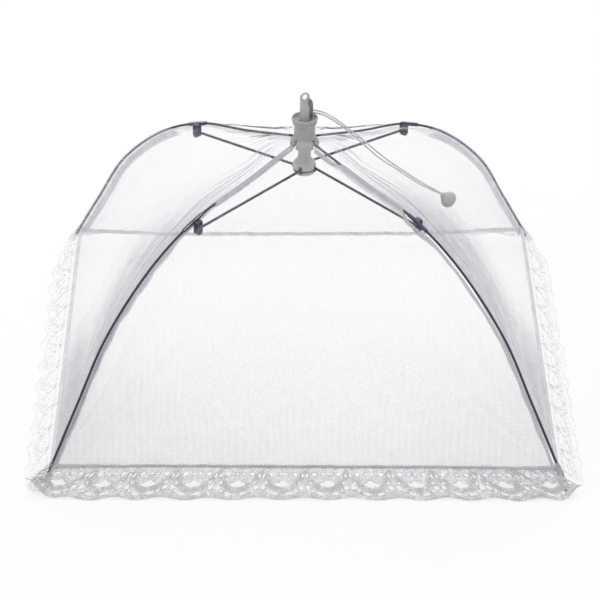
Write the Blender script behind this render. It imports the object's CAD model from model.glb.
import math

import bpy
import numpy as np
from bpy.props import FloatProperty, FloatVectorProperty, PointerProperty
from mathutils import Matrix, Vector
from mathutils.geometry import delaunay_2d_cdt


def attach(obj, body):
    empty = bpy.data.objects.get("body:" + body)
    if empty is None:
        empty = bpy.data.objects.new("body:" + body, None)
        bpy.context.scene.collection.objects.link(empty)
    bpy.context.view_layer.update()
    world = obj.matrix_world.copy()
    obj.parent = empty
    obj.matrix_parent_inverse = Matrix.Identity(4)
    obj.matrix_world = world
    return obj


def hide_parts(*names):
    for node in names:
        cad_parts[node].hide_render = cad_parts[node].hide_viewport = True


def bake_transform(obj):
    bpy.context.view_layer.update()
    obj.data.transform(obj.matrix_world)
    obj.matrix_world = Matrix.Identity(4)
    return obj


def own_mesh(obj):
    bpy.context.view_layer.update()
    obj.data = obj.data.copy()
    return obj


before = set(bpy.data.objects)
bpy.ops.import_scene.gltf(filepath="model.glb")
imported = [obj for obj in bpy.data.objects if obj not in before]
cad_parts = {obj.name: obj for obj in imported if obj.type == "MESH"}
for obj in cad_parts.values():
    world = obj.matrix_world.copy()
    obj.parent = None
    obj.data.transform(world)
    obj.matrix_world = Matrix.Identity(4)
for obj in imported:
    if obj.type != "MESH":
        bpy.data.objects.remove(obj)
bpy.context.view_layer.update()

bl_info = {
    "name": "Food Cover",
    "version": (1, 0, 0),
    "blender": (4, 5, 0),
    "location": "View3D > Sidebar > Food Cover",
    "description": "Builds a square net food cover on four folding ribs round its frame",
    "category": "Object",
}

CORNERS = ("front_right", "back_right", "back_left", "front_left")
SIDES = ("front", "right", "back", "left")
HALVES = ((-1, "first_half"), (1, "second_half"))
QUARTER = math.pi / 2
DIAGONAL = math.sqrt(0.5)
# How far each corner is turned about Z from the plane in which its parts are made
CORNER_TURNS = {name: (corner - 0.5) * QUARTER for corner, name in enumerate(CORNERS)}

# Sizes that the frame's source holds, in metres
RIB_ROOT = (0.0086, 0.181)
RIB_TIP = (0.257, 0.002)
RIB_COURSE_SHARES = (
    (0, 1),
    (0.199, 0.928),
    (0.388, 0.869),
    (0.565, 0.747),
    (0.746, 0.528),
    (0.859, 0.298),
    (1, 0),
)
SEAT_GAP = 0.0003
SKIRT_RADIUS = 0.011
HEM_HEIGHT = 0.0166
HEM_DEPTH = 0.0026
CLIP_RADIUS = 0.111
CLIP_PIVOT = (0.10847, 0.14879)
STRETCHER_SIDE = 0.0032
RING_RADIUS = 0.0072
RING_HEIGHT = 0.1586

# The net lies over the ribs at the crown and inside them lower down, and sags between them
NET_TOP_LIFT = 0.004
NET_INSET = 0.0036
NET_SAG = 0.005
# Out to this radius the net's level lines go over from arcs round the crown to straight ones
NET_ROUNDING = 0.06
# Between the net's edge and the rib's wire, how much less further down, and the clip's room
SEAM_GAP = 0.0014
SEAM_NARROWING = 0.0002
SEAM_CLIP_ROOM = 0.0010
PLEAT_HEIGHT = 0.0007
RIPPLE_HEIGHT = 0.0005
TUCK_HEIGHT = 0.0013
FAN_HEIGHT = 0.0032
# Each tuck's place off the seam, its drift and width, and the shares down where it starts and ends
TUCKS = (
    (0.085, 0.05, 0.014, 0.02, 0.85),
    (0.16, -0.03, 0.011, 0.05, 0.62),
    (0.245, 0.10, 0.014, 0.0, 0.7),
    (0.36, -0.08, 0.012, 0.0, 0.5),
    (0.5, 0.12, 0.012, 0.0, 0.4),
    (0.7, -0.05, 0.012, 0.0, 0.32),
    (0.86, 0.04, 0.010, 0.0, 0.26),
)
TUCK_WAVE = 0.012
# Half the line along a side on which the cloth goes over from the crown to a rib
HALF_SIDE = 0.18

# How far the hem stands over its level at each corner, and how far each side's middle sinks
HEM_RISES = {
    "front_left": -0.0013,
    "front_right": -0.0025,
    "back_right": -0.0010,
    "back_left": -0.0034,
}
HEM_DIPS = {"front": -0.0008, "right": 0.0004, "back": 0.0033, "left": 0.0004}
# How far the net of a side is drawn together low down, and towards which end
DRAWN = {"right": (1.0, -1), "left": (0.66, 1)}
# How far each half of a panel is bunched towards its corner
BUNCHING = {
    ("front", -1): 0.14,
    ("front", 1): 0.05,
    ("right", -1): 1.3,
    ("right", 1): 0.12,
    ("back", -1): 0.08,
    ("back", 1): 0.08,
    ("left", -1): 0.12,
    ("left", 1): 1.3,
}

# The cord's two strands from the crown to the bead, in millimetres
UPPER_STRAND = (
    (2.99, 2.51, 202.7), (5.2, 3.3, 202.7), (9.5, 3.4, 202.2), (14.4, 3.3, 200.6),
    (19.4, 3.3, 197.7), (24.5, 3.4, 194), (30.4, 3.4, 189.1), (36.2, 3.5, 184.1),
    (41.9, 3.5, 179.1), (47.4, 3.3, 174.2), (53, 2.2, 169.6), (59.4, 0.4, 165), (66, -2.2, 161.2),
    (72.2, -4.8, 157.9), (78, -6.9, 154.6), (83.4, -9, 151.9), (88.3, -11.5, 150.1),
    (93, -14.4, 148.7), (98, -17.05, 147),
)
LOWER_STRAND = (
    (2.99, 2.51, 200.8), (5, 3.2, 200.8), (9.1, 3.3, 200.3), (14, 3.2, 198.7), (19, 3.2, 195.8),
    (24.1, 3.3, 192.1), (30, 3.3, 187.2), (35.8, 3.2, 182.0), (41.5, 2.9, 176.8),
    (47, 2.1, 171.8), (52.7, -0.1, 167.4), (59.3, -2.7, 163.8), (66, -5.4, 160.6),
    (72.2, -8.0, 157.3), (78, -10.0, 154.0), (83.4, -12.0, 151.4), (88.3, -14.2, 149.8),
    (93, -16.7, 148.6), (98, -18.95, 147),
)
CORD_POINTS = 420
CORD_SIDES = 18
CORD_PLIES = 3
CORD_CORE = 0.80
CORD_PLY_RISE = 0.22
# Every few points of a strand go to its declared path
CORD_PATH_STEP = 4
BEAD_PLACE = (0.103, -0.018, 0.1427)
BEAD_LEAN = math.radians(-50)
# The way that the bead is drawn, and how far
DRAW_DIRECTION = (-83, 21.2, 65.3)

# The bead's half section, as shares of its radius
BEAD_PROFILE = (
    (0, -0.80), (0.44, -0.80), (0.72, -0.66), (0.90, -0.44), (0.99, -0.16), (0.99, 0.06),
    (0.90, 0.32), (0.72, 0.54), (0.54, 0.68), (0.44, 0.78), (0.38, 0.92), (0.26, 0.99), (0, 0.99),
)
# Half sections of crown, runner, stem and rivet: radius and height in millimetres
CROWN_PROFILE = (
    (3.9, 179.6), (7.8, 179.6), (7.8, 181.1), (9.3, 181.1), (9.3, 177.4), (9.5, 176.9),
    (9.9, 176.7), (10.3, 177.0), (10.5, 177.7), (10.55, 178.8), (10.45, 179.9), (10.1, 180.9),
    (9.4, 181.9), (8.6, 182.8), (8.1, 183.7), (7.8, 184.8), (7.65, 186.2), (7.55, 188.0),
    (7.5, 190.0), (7.5, 191.8), (7.65, 193.0), (8.05, 193.9), (8.6, 194.4), (8.85, 194.9),
    (8.8, 195.5), (8.55, 195.9), (8.6, 196.3), (9.05, 196.7), (9.4, 197.3), (9.5, 198.0),
    (9.4, 198.7), (9.1, 199.1), (8.7, 199.2), (8.3, 198.95), (8.1, 198.3), (7.9, 197.4),
    (7.4, 196.9), (6.6, 196.6), (5.4, 196.5), (4.5, 196.3), (3.9, 195.9),
)
RUNNER_PROFILE = (
    (3.7, 155.0), (6.4, 155.0), (7.3, 155.3), (7.85, 155.9), (8.0, 156.8), (8.1, 157.4),
    (8.15, 157.85), (6.6, 157.85), (6.6, 159.35), (8.2, 159.35), (8.25, 160.4), (8.25, 161.6),
    (8.1, 162.8), (7.7, 163.8), (7.0, 164.7), (6.1, 165.4), (5.3, 165.9), (5.0, 166.6),
    (4.9, 167.3), (4.7, 167.6), (3.7, 167.6),
)
STEM_PROFILE = (
    (0, 155.2), (3.4, 155.2), (3.4, 165.3), (4.4, 165.3), (4.65, 165.6), (4.65, 178.7),
    (4.3, 179.2), (3.6, 179.2), (3.6, 200.0), (3.6, 206.0), (3.6, 207.5), (3.6, 208.6),
    (3.6, 209.4), (3.6, 210.2), (3.6, 212.5),
)
RIVET_PROFILE = (
    (0, 0.0), (0.9, 0.1), (1.5, 0.45), (1.65, 0.85), (0.8, 0.85), (0.8, 5.15), (1.75, 5.15),
    (1.65, 5.5), (1.1, 5.9), (0, 6.05),
)
STEM_RADIUS = 3.6
STEM_TOP = 218.3
# The stem is pressed to this share of its thickness from one height on, over a length
STEM_FLATNESS = 0.32
PRESSED_FROM = 0.2070
PRESSED_OVER = 0.0034
STEM_TURN = math.pi / 12
EYE_HEIGHT = 0.2148
DRILL_RADIUS = 0.0019
DRILL_STRETCH = 1.15
# Two places between which each corner's notch is cut
CROWN_NOTCH = ((0.0064, -0.0013, 0.17), (0.02, 0.0013, 0.1827))
RUNNER_NOTCH = (
    (0.0035, STRETCHER_SIDE - 0.0011, 0.1568),
    (0.02, STRETCHER_SIDE + 0.0011, 0.1628),
)
# The catch's outline in millimetres, and how far it is set back towards the stem
CATCH_OUTLINE = (
    (3.7, 213.0), (4.4, 212.9), (5.2, 212.2), (5.9, 210.8), (6.3, 208.8), (6.4, 206.4),
    (6.3, 203.6), (6.1, 200.6), (6.0, 197.8), (4.3, 197.8), (4.2, 200.6), (4.15, 203.6),
    (4.1, 206.4), (4.0, 208.8), (3.75, 210.8),
)
CATCH_SETBACK = 0.4
CATCH_HALF_WIDTH = 0.0016

# The rib's wire leaves its eye here and ends in its pocket at this share of its course
RIB_EYE_NECK = 0.0012
RIB_END_SHARE = 0.975
RIB_EYE_RADIUS = 0.00125
RIB_EYE_START = 0.15
RIB_EYE_TURNS = 0.97
STRETCHER_EYE_RADIUS = 0.0013
STRETCHER_HOOK_RADIUS = 0.00175
STRETCHER_EYE_TURNS = 0.85

# A clip: the sleeve round the rib, and two cheeks under a bridge and a neck
SLEEVE_LENGTH = 0.019
SLEEVE_BORE = 0.00125
SLEEVE_THICKNESS = 0.00045
SLEEVE_START = math.radians(200)
SLEEVE_SPAN = math.radians(325)
CHEEK_HALF_WIDTH = 0.0026
CHEEK_THICKNESS = 0.00065
# The cheeks' upper edge lies this much below the rib's middle, at its two ends
CHEEK_DROPS = (0.0003, 0.0009)
ROOF_THICKNESS = 0.0007
# Where the cheeks start, and where bridge and neck start and end, across the rib
CHEEKS = (0.0009, 0.00445)
BRIDGE = (0.0009, 0.0051)
NECK = (-0.0011, 0.0012)

TAPE_START_RADIUS = 0.0125
TAPE_WIDTH = 0.0048
# Where a tape beside the rib starts, below it and aside
TAPE_DROP = 0.0008
TAPE_ASIDE = 0.00135
# The length in which a tape turns over its rib, and how far a clip keeps it off
TAPE_TURNING = 0.012
CLIP_REACH = 0.0125
# Section of a tape over the rib, in millimetres aside and up, and its side that hangs down
TAPE_SECTION = ((1.25, -2.6), (1.35, -1.0), (1.2, 0.5), (0.6, 1.3), (-0.6, 1.3), (-1.2, 0.5))
FOLDED_TAPE_SIDE = ((-1.35, -1.0), (-1.5, -4.6))
WRAPPED_TAPE_SIDE = ((-1.35, -1.4), (-1.5, -7.0))

# Rings of a pocket in millimetres: how far out, highest and lowest point, half width
POCKET_FORM = (
    (246.5, 19.5, 16.0, 1.3), (248.5, 17.6, 13.0, 1.9), (250.5, 15.2, 9.4, 2.3),
    (252.5, 12.6, 6.0, 2.5), (254.5, 10.0, 3.0, 2.7), (256.5, 7.6, 0.9, 2.6),
    (258.5, 5.6, 0.1, 2.4), (260.0, 4.0, 0.1, 2.2), (261.5, 2.6, 0.3, 1.6),
)
POCKET_LENGTH = 0.024
POCKET_RADIUS = 0.003

# How far a hem stops short of the corner, and half its thickness
HEM_INSET = 0.0006
HEM_BULGE = 0.0008
# How open each side's hem is, and how deep
HEM_LOOKS = {"front": (0.58, 1.1), "right": (0.6, 2.8), "back": (0.76, 1.5), "left": (0.6, 2.8)}
# From this share of the front's second half on, hem and lace lie double
OVERLAP_SHARE = 0.66

# The flat pieces that half a panel and half a lace are cut from, and what they take of them
LACE_FLAT = (0.19, 0.023)
# How much finer the net's grid gets towards the rib
NET_CROWDING = 1.35

# The lace's outer edge, and its scallops on one side
LACE_EDGE = 0.1946
SCALLOPS = 12
SCALLOP_DEPTH = 0.0026
# Where the lace starts beside the middle of the hem
LACE_OUTSIDE_HEM = 0.0011
LACE_BELOW_HEM = 0.0006
RUFFLE_HEIGHT = 0.0009
LACE_FLOOR_GAP = 0.00045
LACE_RELIEF = 0.00016
LACE_MERGE_DISTANCE = 0.00001
# One scallop in millimetres: width, depth, the cord round its holes, its points' spacing,
# and the outlines of its middle hole and of the hole like a leaf
LACE_WIDE = 31.8
LACE_DEEP = 23.0
LACE_CORD = 0.7
LACE_SPACING = 1.25
LACE_EYE = (
    (-6.2, 11.3), (-4.4, 10.3), (-2.4, 10.4), (-1.3, 8.9), (0, 8.0), (1.3, 9.2), (2.6, 10.2),
    (4.4, 10.5), (6.2, 11.3), (3.8, 12.8), (1.6, 13.0), (0, 13.8), (-2.0, 13.1), (-3.8, 12.7),
)
LACE_LEAF = ((6.6, 3.6), (8.7, 3.2), (10.8, 3.7), (9.9, 5.0), (9.0, 6.2), (7.9, 5.0))
# How far each end of the lace runs on past the hem's corner, what share of its reach it keeps
# there, where it starts to draw in, and how high its corner curls
LACE_ENDS = {
    ("front", -1): (0.021, 0.36, 0.84, 0.008),
    ("front", 1): (0.019, 0.6, 0.88, 0.0055),
    ("right", -1): (0.0075, 0.95, 0.88, 0.004),
    ("right", 1): (0.003, 0.5, 0.74, 0.002),
    ("back", -1): (0.006, 0.7, 0.88, 0.0),
    ("back", 1): (0.006, 0.7, 0.88, 0.0),
    ("left", -1): (0.002, 0.5, 0.7, 0.002),
    ("left", 1): (0.0065, 1.0, 0.88, 0.004),
}

# Stage
FLOOR_SIZE = 6
FLOOR_DROP = 0.0002
FLOOR_WHITE = (0.92, 0.92, 0.92, 1)
FLOOR_SEE_THROUGH = 0.7
SURROUNDING_LIGHT = 0.78
# Name, place, size and watts of each lamp
LAMPS = (
    ("top_lamp", (-0.25, 0.25, 1.9), 1.5, 9),
    ("back_lamp", (0.2, 1.7, 1.0), 1.4, 5),
    ("front_lamp", (-0.9, -1.5, 0.9), 1.2, 3),
)
CAMERA_AZIMUTH = math.radians(-0.60)
CAMERA_ELEVATION = math.radians(29.36)
CAMERA_ROLL = math.radians(0.43)
CAMERA_DISTANCE = 2.225
CAMERA_LENS = 181.29
CAMERA_SENSOR = 36
TARGET_ASIDE = -0.0024
TARGET_HEIGHT = 0.0494

CLOTH_SHEEN = {"Sheen_Weight": 0.3, "Sheen_Roughness": 0.5}
# How much of a tape's open share goes into holes
TAPE_FUZZ = 0.5
# Pitches of weaves, threads and stitches
TAPE_RIB_PITCH = 0.0009
TAPE_WARP_PITCH = 0.0006
STITCH_PITCH = 0.0028
STITCH_SHARE = 0.62
STITCH_LINE = 0.0013
STITCH_HALF_WIDTH = 0.0002
# Tape more open than this has no stitches
STITCHED_BELOW = 0.95
POCKET_WEAVE_PITCH = 0.0006
LACE_MESH_PITCH = 0.0016
THREAD_PITCH = 0.0005

# Wires are of the low shade up to one height, and of the other shade a blend's height above it
LOW_WIRE_HEIGHT = 0.03
LOW_WIRE_BLEND = 0.1
# The bright line along a clip's sleeve: its share round the sleeve, half width and colour
BRIGHT_LINE = 0.61
BRIGHT_LINE_HALF = 0.035
BRIGHT_LINE_COLOUR = (0.55, 0.57, 0.66)

# Steps round each turned part
CROWN_STEPS = 72
STEM_STEPS = 48
BEAD_STEPS = 48
RIVET_STEPS = 28
# Columns and rows of each grid, and rings and sides of each tube
NET_GRID = (84, 120)
TAPE_GRID = (28, 150)
SLEEVE_GRID = (22, 12)
HEM_TUBE = (140, 18)
POCKET_TUBE = (30, 48)
RIB_POINTS = 150

# Widths of the bevels
STEM_BEVEL = 0.0002
CATCH_BEVEL = 0.0004
CLIP_BEVEL = 0.00015

MERGE_DISTANCE = 0.000001
SHARP_EDGE = math.radians(30)
CURVE_STEPS = 400
COURSE_POINTS = 2001
COIL_POINTS = 28
DOME_POINTS = 14


# What a user would change


def length(name, description, default):
    return FloatProperty(
        name=name, description=description, default=default, min=0, precision=5, unit="LENGTH"
    )


def tint(name, description, default):
    return FloatVectorProperty(
        name=name, description=description, default=default, size=3, min=0, max=1, subtype="COLOR"
    )


def linear(code):
    """The linear shares of a six-digit colour code."""
    shares = [int(code[i : i + 2], 16) / 255 for i in (0, 2, 4)]
    return tuple(s / 12.92 if s <= 0.04045 else ((s + 0.055) / 1.055) ** 2.4 for s in shares)


class CoverSizes(bpy.types.PropertyGroup):
    net_cell: length("Net cell", "Width of one cell of the net", 0.0008)
    net_thread: length("Net thread", "Width of the net's threads", 0.000085)
    net_thickness: length("Net thickness", "Thickness of the net", 0.00025)
    rib_radius: length("Rib radius", "Radius of the ribs' wire", 0.0009)
    stretcher_radius: length("Stretcher radius", "Radius of the stretchers' wire", 0.00095)
    tape_thickness: length("Tape thickness", "Thickness of the binding tape", 0.0005)
    lace_thickness: length("Lace thickness", "Thickness of the lace", 0.0005)
    cord_radius: length("Cord radius", "Radius of a strand of the pull cord", 0.0006)
    cord_pitch: length("Cord pitch", "Length in which the plies turn once", 0.0045)
    bead_radius: length("Bead radius", "Radius of the bead on the pull cord", 0.006)


class CoverColours(bpy.types.PropertyGroup):
    net: tint("Net", "Colour of the net", linear("eeebf2"))
    hem: tint("Hem", "Colour of the front hem", linear("bfbec4"))
    tape: tint("Tape", "Colour of the front tapes", linear("c6c5cb"))
    pale_tape: tint("Pale tape", "Colour of the other tapes and hems", linear("ebe9f2"))
    pocket: tint("Pocket", "Colour of the corner pockets", linear("b2b0b3"))
    lace: tint("Lace", "Colour of the lace", linear("dedcde"))
    cord: tint("Cord", "Colour of the pull cord", linear("cfcfd1"))
    crown: tint("Crown", "Colour of the crown", linear("a1a09e"))
    stem: tint("Stem", "Colour of the stem", linear("adacaa"))
    runner: tint("Runner", "Colour of the runner", linear("b9b8b4"))
    bead: tint("Bead", "Colour of the bead", linear("b0b0b1"))
    wire: tint("Wire", "Colour of the ribs and stretchers", linear("2b3046"))
    low_wire: tint("Low wire", "Colour of the ribs near the table", linear("28272b"))
    clip: tint("Clip", "Colour of the clips and rivets", linear("2c344c"))
    spring: tint("Spring", "Colour of the catch", linear("747572"))


# Shader tools


class Signal:
    """A shader socket that adds Math nodes when it is used in an expression."""

    def __init__(self, finish, socket):
        self.finish = finish
        self.socket = socket

    def maths(self, operation, *values):
        return self.finish.node("ShaderNodeMath", {"operation": operation}, dict(enumerate(values)))

    def __add__(self, other):
        return self.maths("ADD", self, other)

    def __radd__(self, other):
        return self.maths("ADD", other, self)

    def __sub__(self, other):
        return self.maths("SUBTRACT", self, other)

    def __rsub__(self, other):
        return self.maths("SUBTRACT", other, self)

    def __mul__(self, other):
        return self.maths("MULTIPLY", self, other)

    def __rmul__(self, other):
        return self.maths("MULTIPLY", other, self)

    def __truediv__(self, other):
        return self.maths("DIVIDE", self, other)

    def __abs__(self):
        return self.maths("ABSOLUTE", self)

    def __lt__(self, other):
        return self.maths("LESS_THAN", self, other)

    def __gt__(self, other):
        return self.maths("GREATER_THAN", self, other)

    def fraction(self):
        return self.maths("FRACT", self)

    def lower(self, other):
        return self.maths("MINIMUM", self, other)

    def higher(self, other):
        return self.maths("MAXIMUM", self, other)

    def swing(self):
        """A wave from 0 to 1 and back over each unit, with straight sides."""
        return abs((self.fraction() - 0.5) * 2)


class Finish:
    """A material whose nodes are made by one method."""

    def __init__(self, name, **constants):
        self.material = bpy.data.materials.new(name)
        self.material.use_nodes = True
        self.tree = self.material.node_tree
        self.shader = self.tree.nodes["Principled BSDF"]
        for socket, value in constants.items():
            self.shader.inputs[socket.replace("_", " ")].default_value = value

    def node(self, kind, settings=None, inputs=None, output=0):
        """A new node of that type, with its settings and then its sockets' values or links."""
        node = self.tree.nodes.new(kind)
        for name, value in (settings or {}).items():
            if name == "stops":
                ramp = node.color_ramp.elements
                while len(ramp) < len(value):
                    ramp.new(1)
                for element, (place, rgb) in zip(ramp, value):
                    element.position = place
                    element.color = (*rgb, 1)
            else:
                setattr(node, name, value)
        for name, value in (inputs or {}).items():
            if isinstance(value, Signal):
                self.tree.links.new(value.socket, node.inputs[name])
            else:
                node.inputs[name].default_value = value
        return Signal(self, node.outputs[output])

    def place(self):
        return self.node("ShaderNodeTexCoord", output="Object")

    def across_and_along(self):
        """The two shares of the piece's own UV map, in metres."""
        place = self.node("ShaderNodeUVMap", {"uv_map": "UVMap"})
        split = self.node("ShaderNodeSeparateXYZ", inputs={"Vector": place})
        outputs = split.socket.node.outputs
        return Signal(self, outputs["X"]), Signal(self, outputs["Y"])

    def share(self, name):
        """A share that the mesh holds at its points."""
        return self.node("ShaderNodeAttribute", {"attribute_name": name}, output="Fac")

    def noise(self, scale, detail, stretch=None):
        """Noise on the piece's own place, stretched where the shares of X, Y and Z are small."""
        vector = self.place()
        if stretch:
            vector = self.node("ShaderNodeMapping", inputs={"Vector": vector, "Scale": stretch})
        return self.node(
            "ShaderNodeTexNoise", inputs={"Vector": vector, "Scale": scale, "Detail": detail}
        )

    def ramp(self, signal, *stops):
        return self.node("ShaderNodeValToRGB", {"stops": stops}, {"Fac": signal}, "Color")

    def mix(self, share, low, high):
        """A colour between two colours."""
        node = self.node("ShaderNodeMix", {"data_type": "RGBA"}, {0: share}).socket.node
        for socket, value in ((node.inputs[6], low), (node.inputs[7], high)):
            if isinstance(value, Signal):
                self.tree.links.new(value.socket, socket)
            else:
                socket.default_value = (*value, 1)
        return Signal(self, node.outputs[2])

    def feed(self, **signals):
        for name, signal in signals.items():
            self.tree.links.new(signal.socket, self.shader.inputs[name.replace("_", " ")])

    def relief(self, height, distance, strength):
        bump = self.node(
            "ShaderNodeBump",
            inputs={"Height": height, "Distance": distance, "Strength": strength},
        )
        self.feed(Normal=bump)


def shaded(rgb, factor):
    """The colour made lighter or darker."""
    return tuple(min(channel * factor, 1) for channel in rgb)


def moulded_plastic(name, rgb, subsurface):
    """Translucent moulded plastic with faint flow marks, dull in places."""
    finish = Finish(
        name,
        IOR=1.49,
        Subsurface_Weight=subsurface,
        Subsurface_Radius=(1, 1, 0.96),
        Subsurface_Scale=0.004,
        Coat_Weight=0.15,
        Coat_Roughness=0.2,
    )
    cloud = finish.noise(120, 4)
    flow = finish.noise(90, 3, stretch=(1, 1, 0.2))
    shade = cloud * 0.6 + flow * 0.4
    finish.feed(
        Base_Color=finish.ramp(shade, (0.3, shaded(rgb, 0.84)), (0.7, shaded(rgb, 1.12))),
        Roughness=cloud * 0.24 + 0.3,
    )
    finish.relief(finish.noise(900, 2) * 0.5 + flow * 0.5, 0.00012, 0.35)
    return finish.material


def lacquered_wire(name, rgb, low_rgb):
    """Painted steel wire, rubbed a little along its length and of another shade low down."""
    finish = Finish(name, Metallic=0.1, IOR=1.45, Coat_Weight=0.12, Coat_Roughness=0.3)
    cloud = finish.noise(70, 4)
    rub = finish.noise(700, 2)
    split = finish.node("ShaderNodeSeparateXYZ", inputs={"Vector": finish.place()}).socket.node
    height = Signal(finish, split.outputs["Z"])
    above = ((height - LOW_WIRE_HEIGHT) / LOW_WIRE_BLEND).lower(1.0).higher(0.0)
    tone = cloud * 0.7 + rub * 0.3
    low, high = (
        finish.ramp(tone, (0.32, shaded(shade, 0.72)), (0.56, shade), (0.74, shaded(shade, 1.6)))
        for shade in (low_rgb, rgb)
    )
    finish.feed(Base_Color=finish.mix(above, low, high), Roughness=rub * 0.25 + 0.3)
    finish.relief(rub, 0.00006, 0.3)
    return finish.material


def folded_metal(name, rgb):
    """Lacquered sheet steel that is rubbed bright along the sleeve's edges."""
    finish = Finish(name, Metallic=0.1, IOR=1.45, Coat_Weight=0.2, Coat_Roughness=0.25)
    across, _ = finish.across_and_along()
    cloud = finish.noise(160, 4)
    line = (abs(across - BRIGHT_LINE) < BRIGHT_LINE_HALF) * (cloud > 0.4)
    metal = finish.ramp(cloud, (0.35, shaded(rgb, 0.65)), (0.5, rgb), (0.68, shaded(rgb, 2.2)))
    finish.feed(
        Base_Color=finish.mix(line * 0.8, metal, BRIGHT_LINE_COLOUR),
        Roughness=cloud * 0.3 + 0.25,
    )
    finish.relief(cloud, 0.0001, 0.3)
    return finish.material


def spring_steel(name, rgb):
    """Bare steel, brushed along its height."""
    finish = Finish(name, IOR=2.4)
    brush = finish.noise(600, 3, stretch=(1, 1, 0.1))
    finish.feed(
        Base_Color=finish.ramp(brush, (0.3, shaded(rgb, 0.7)), (0.7, shaded(rgb, 1.2))),
        Roughness=brush * 0.3 + 0.25,
        Metallic=brush * 0.1 + 0.75,
    )
    finish.relief(brush, 0.00005, 0.3)
    return finish.material


def net_weave(name, rgb, cell, thread):
    """A knitted net: two families of threads that swing and meet, which leaves six-sided holes."""
    finish = Finish(name, Roughness=0.62, Sheen_Weight=0.2, Sheen_Roughness=0.4)
    across, along = finish.across_and_along()
    gather = finish.share("gather")
    # The weave wanders a little, so that its lines aren't ruled
    wander = finish.noise(26, 2) * (cell * 1.6)
    swing = (along / (cell * 2.4)).swing() * 2.4 - 1.2
    swing = swing.lower(1.0).higher(-1.0) * 0.25
    column = (across + wander) / (cell * 2)
    one = abs((column + swing).fraction() - 0.5)
    other = abs((column - swing + 0.5).fraction() - 0.5)
    uneven = finish.noise(260, 3, stretch=(1, 1, 0.3)) * 1.4 + 0.3
    width = uneven * (gather * (thread * 5.0) + thread)
    threads = one.lower(other) * (cell * 2) < width * 0.5
    streak = finish.noise(420, 3, stretch=(1, 1, 0.12))
    cloud = finish.noise(9, 2)
    tone = streak * 0.6 + cloud * 0.4
    open_tone = finish.ramp(tone, (0.36, shaded(rgb, 0.92)), (0.64, shaded(rgb, 1.04)))
    close_tone = finish.ramp(tone, (0.36, shaded(rgb, 0.6)), (0.64, shaded(rgb, 0.76)))
    finish.feed(
        Base_Color=finish.mix((gather * 1.5).lower(1.0), open_tone, close_tone),
        Alpha=threads * (gather * 1.1 + 0.33).lower(1.0),
    )
    return finish.material


def ribbed_tape(name, rgb):
    """Thin woven tape with fine cross ribs, a row of stitches, and frayed, half-open edges."""
    finish = Finish(name, Roughness=0.85, **CLOTH_SHEEN)
    across, along = finish.across_and_along()
    rib = (along / TAPE_RIB_PITCH).swing()
    warp = (across / TAPE_WARP_PITCH).swing()
    open_share = finish.share("open")
    in_stitch = (along / STITCH_PITCH).fraction() < STITCH_SHARE
    on_line = abs(across - STITCH_LINE) < STITCH_HALF_WIDTH
    stitch = in_stitch * on_line * (open_share < STITCHED_BELOW)
    cloud = finish.noise(140, 4)
    tone = cloud * 0.6 + rib * 0.2 + warp * 0.2
    woven = finish.ramp(tone, (0.25, shaded(rgb, 0.74)), (0.75, shaded(rgb, 1.16)))
    hair = finish.noise(2400, 2)
    finish.feed(
        Base_Color=finish.mix(stitch, woven, shaded(rgb, 1.35)),
        Alpha=(hair > open_share * TAPE_FUZZ + 0.1).higher(stitch),
    )
    finish.relief(rib * 0.5 + warp * 0.3 + stitch * 0.6, 0.00025, 0.8)
    return finish.material


def gathered_cloth(name, rgb):
    """Thin bunched cloth, which the share open leaves in tufts."""
    finish = Finish(name, Roughness=0.9, **CLOTH_SHEEN)
    across, along = finish.across_and_along()
    weft = (across / POCKET_WEAVE_PITCH).swing()
    warp = (along / POCKET_WEAVE_PITCH).swing()
    weave = weft * 0.5 + warp * 0.5
    cloud = finish.noise(180, 4)
    hair = finish.noise(1500, 3)
    open_share = finish.share("open")
    finish.feed(
        Base_Color=finish.ramp(
            cloud * 0.7 + weave * 0.3, (0.3, shaded(rgb, 0.7)), (0.72, shaded(rgb, 1.25))
        ),
        Alpha=hair > open_share,
    )
    finish.relief(weave * 0.5 + cloud * 0.5, 0.0003, 0.7)
    return finish.material


def lace_ground(name, rgb):
    """Close cords round the holes, and a ground of fine threads that is denser in the arches.

    The share slack makes the lace thinner and paler, as where it hangs against the light.
    """
    finish = Finish(name, Roughness=0.8, **CLOTH_SHEEN)
    across, along = finish.across_and_along()
    close, dense, slack = (finish.share(share) for share in ("close", "dense", "slack"))
    wander = finish.noise(240, 2) * (LACE_MESH_PITCH * 1.5)
    one = ((across + along + wander) / LACE_MESH_PITCH).swing()
    other = ((across - along + wander) / LACE_MESH_PITCH).swing()
    cloud = finish.noise(260, 4)
    speck = finish.noise(900, 3)
    patch = cloud * 1.1 + speck * 0.6 - 0.46
    ground = one.lower(other) < patch + dense * 0.34 - slack * 0.57
    strand = ((across * 0.7 + along) / THREAD_PITCH).swing()
    woven = finish.ramp(
        cloud * 0.4 + speck * 0.45 + strand * 0.1 - dense * 0.07 - 0.01,
        (0.39, shaded(rgb, 0.68)),
        (0.47, rgb),
        (0.56, shaded(rgb, 1.28)),
    )
    finish.feed(
        Base_Color=finish.mix(slack * 0.85, woven, shaded(rgb, 1.4)),
        Alpha=ground.higher((close - slack * 0.5 + speck * 0.7) > 0.95),
    )
    finish.relief(strand * 0.5 + close * 0.5, 0.0002, 0.6)
    return finish.material


def twisted_cord(name, rgb):
    """Cord with fine fibres along its plies."""
    finish = Finish(name, Roughness=0.75, Sheen_Weight=0.2, Sheen_Roughness=0.5)
    across, along = finish.across_and_along()
    fibre = ((along + across * 1.4) / THREAD_PITCH).swing()
    cloud = finish.noise(260, 4)
    finish.feed(
        Base_Color=finish.ramp(
            fibre * 0.4 + cloud * 0.6, (0.25, shaded(rgb, 0.72)), (0.75, shaded(rgb, 1.18))
        )
    )
    finish.relief(fibre, 0.00012, 0.7)
    return finish.material


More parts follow.
